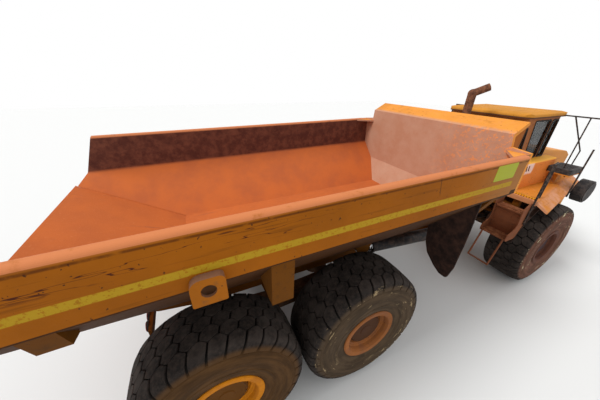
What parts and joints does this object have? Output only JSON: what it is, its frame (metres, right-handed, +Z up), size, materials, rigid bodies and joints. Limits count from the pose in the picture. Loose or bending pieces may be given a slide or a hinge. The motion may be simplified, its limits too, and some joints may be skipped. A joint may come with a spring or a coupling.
{
  "type": "articulated dump truck",
  "caption": "Articulated six-wheel-drive dump truck with a tipping bed, rolling and steering hitch, cab with a door, tilting hood and turning wheels.",
  "frame": {"origin": "on the ground, middle of the overall length and width", "axes": "+X runs forward to the nose, +Y to the truck's left, +Z up"},
  "size_m": [10.5998, 3.528, 4.0112],
  "materials": {
    "yellow_paint": "worn, dusty paint",
    "rusty_paint": "rusty, dusty paint",
    "bed_steel": "scoured steel under orange dust",
    "dark_metal": "dark, dusty",
    "bright_rod": "polished, dusty",
    "tyre": "matt, dusty",
    "flap_rubber": "matt, dusty",
    "glass": "dusty",
    "trim": "matt",
    "lamp_glass": "clear",
    "lamp_red": "clear, dusty"
  },
  "bodies": {
    "rear_unit": {"rear_frame": "yellow_paint", "mid_axle": "rusty_paint", "rear_axle": "rusty_paint", "bogie_beams": "rusty_paint", "tail_lamps": "lamp_red"},
    "hitch": {"hitch": "rusty_paint"},
    "front_unit": {"front_frame": "yellow_paint", "front_axle": "rusty_paint", "front_struts": "dark_metal", "cab": "rusty_paint", "cab_roof": "yellow_paint", "cab_glass": "glass", "seat_and_dash": "trim", "engine": "dark_metal", "fenders": "yellow_paint", "steps": "rusty_paint", "handrails": "dark_metal", "exhaust": "rusty_paint", "tanks": "yellow_paint", "bumper": "yellow_paint", "lamps": "lamp_glass", "side_box": "yellow_paint", "intake_box": "trim", "air_drum": "trim", "arch_liners": "rusty_paint", "mirrors": "dark_metal"},
    "hood": {"hood": "yellow_paint", "grille": "dark_metal"},
    "bed": {"bed_floor": "bed_steel", "bed_sides": "yellow_paint", "headboard": "yellow_paint", "bed_ribs": "yellow_paint", "mudflaps": "flap_rubber", "tie_eyes": "yellow_paint"},
    "hoist_barrels": {"hoist_barrels": "dark_metal"},
    "hoist_sleeves": {"hoist_sleeves": "bright_rod"},
    "hoist_inner_sleeves": {"hoist_inner_sleeves": "bright_rod"},
    "hoist_rods": {"hoist_rods": "bright_rod"},
    "steer_barrel_right": {"steer_barrel_right": "dark_metal"},
    "steer_barrel_left": {"steer_barrel_left": "dark_metal"},
    "steer_rod_right": {"steer_rod_right": "bright_rod"},
    "steer_rod_left": {"steer_rod_left": "bright_rod"},
    "door_left": {"door_left": "rusty_paint", "door_glass_left": "glass"},
    "wheel_fr": {"tyre_fr": "tyre", "rim_fr": "yellow_paint"},
    "wheel_fl": {"tyre_fl": "tyre", "rim_fl": "yellow_paint"},
    "wheel_mr": {"tyre_mr": "tyre", "rim_mr": "yellow_paint"},
    "wheel_ml": {"tyre_ml": "tyre", "rim_ml": "yellow_paint"},
    "wheel_rr": {"tyre_rr": "tyre", "rim_rr": "yellow_paint"},
    "wheel_rl": {"tyre_rl": "tyre", "rim_rl": "yellow_paint"}
  },
  "joints": [
    {"name": "frame_roll", "type": "hinge", "parent": "rear_unit", "child": "hitch", "pos_m": [0.9, 0, 1.17], "axis": [1, 0, 0], "range_deg": [-8, 8]},
    {"name": "steer", "type": "hinge", "parent": "hitch", "child": "front_unit", "pos_m": [1.55, 0, 1.17], "axis": [0, 0, 1], "range_deg": [-45, 45]},
    {"name": "bed_tip", "type": "hinge", "parent": "rear_unit", "child": "bed", "pos_m": [-4, 0, 1.62], "axis": [0, -1, 0], "range_deg": [0, 70]},
    {"name": "hoist_swing", "type": "hinge", "parent": "rear_unit", "child": "hoist_barrels", "pos_m": [0.52, 0, 1.44], "axis": [0, -1, 0], "range_deg": [-29.2, 1]},
    {"name": "hoist_sleeves_slide", "type": "slide", "parent": "hoist_barrels", "child": "hoist_sleeves", "axis": [-0.9935, 0, 0.114], "range_m": [0, 0.8483]},
    {"name": "hoist_inner_sleeves_slide", "type": "slide", "parent": "hoist_sleeves", "child": "hoist_inner_sleeves", "axis": [-0.9935, 0, 0.114], "range_m": [0, 0.8483]},
    {"name": "hoist_rods_slide", "type": "slide", "parent": "hoist_inner_sleeves", "child": "hoist_rods", "axis": [-0.9935, 0, 0.114], "range_m": [0, 0.8483]},
    {"name": "steer_barrel_right_swing", "type": "hinge", "parent": "front_unit", "child": "steer_barrel_right", "pos_m": [2.75, -0.56, 1.22], "axis": [0, 0, 1], "range_deg": [-6, 6]},
    {"name": "steer_rod_right_slide", "type": "slide", "parent": "steer_barrel_right", "child": "steer_rod_right", "axis": [-0.9806, 0.1961, 0], "range_m": [-0.225, 0.225]},
    {"name": "steer_barrel_left_swing", "type": "hinge", "parent": "front_unit", "child": "steer_barrel_left", "pos_m": [2.75, 0.56, 1.22], "axis": [0, 0, 1], "range_deg": [-6, 6]},
    {"name": "steer_rod_left_slide", "type": "slide", "parent": "steer_barrel_left", "child": "steer_rod_left", "axis": [-0.9806, -0.1961, 0], "range_m": [-0.225, 0.225]},
    {"name": "hood_tilt", "type": "hinge", "parent": "front_unit", "child": "hood", "pos_m": [5.18, 0, 1.52], "axis": [0, 1, 0], "range_deg": [0, 55]},
    {"name": "door_left_hinge", "type": "hinge", "parent": "front_unit", "child": "door_left", "pos_m": [3.17, 0.766, 2.4], "axis": [0, 0, -1], "range_deg": [0, 75]},
    {"name": "wheel_fr_spin", "type": "hinge", "parent": "front_unit", "child": "wheel_fr", "pos_m": [2.911, -1.301, 0.92747], "axis": [0, 1, 0], "continuous": true},
    {"name": "wheel_fl_spin", "type": "hinge", "parent": "front_unit", "child": "wheel_fl", "pos_m": [2.911, 1.301, 0.92747], "axis": [0, 1, 0], "continuous": true},
    {"name": "wheel_mr_spin", "type": "hinge", "parent": "rear_unit", "child": "wheel_mr", "pos_m": [-1.8, -1.301, 0.92747], "axis": [0, 1, 0], "continuous": true},
    {"name": "wheel_ml_spin", "type": "hinge", "parent": "rear_unit", "child": "wheel_ml", "pos_m": [-1.8, 1.301, 0.92747], "axis": [0, 1, 0], "continuous": true},
    {"name": "wheel_rr_spin", "type": "hinge", "parent": "rear_unit", "child": "wheel_rr", "pos_m": [-3.69, -1.301, 0.92747], "axis": [0, 1, 0], "continuous": true},
    {"name": "wheel_rl_spin", "type": "hinge", "parent": "rear_unit", "child": "wheel_rl", "pos_m": [-3.69, 1.301, 0.92747], "axis": [0, 1, 0], "continuous": true}
  ],
  "couplings": [
    {"joint": "hoist_swing", "follows": "bed_tip", "ratio": -0.40935},
    {"joint": "hoist_sleeves_slide", "follows": "bed_tip", "m_per_rad": 0.69274},
    {"joint": "hoist_inner_sleeves_slide", "follows": "bed_tip", "m_per_rad": 0.69274},
    {"joint": "hoist_rods_slide", "follows": "bed_tip", "m_per_rad": 0.69274},
    {"joint": "steer_barrel_right_swing", "follows": "steer", "ratio": 0.06388},
    {"joint": "steer_rod_right_slide", "follows": "steer", "m_per_rad": 0.27723},
    {"joint": "steer_barrel_left_swing", "follows": "steer", "ratio": 0.06388},
    {"joint": "steer_rod_left_slide", "follows": "steer", "m_per_rad": -0.27723}
  ]
}
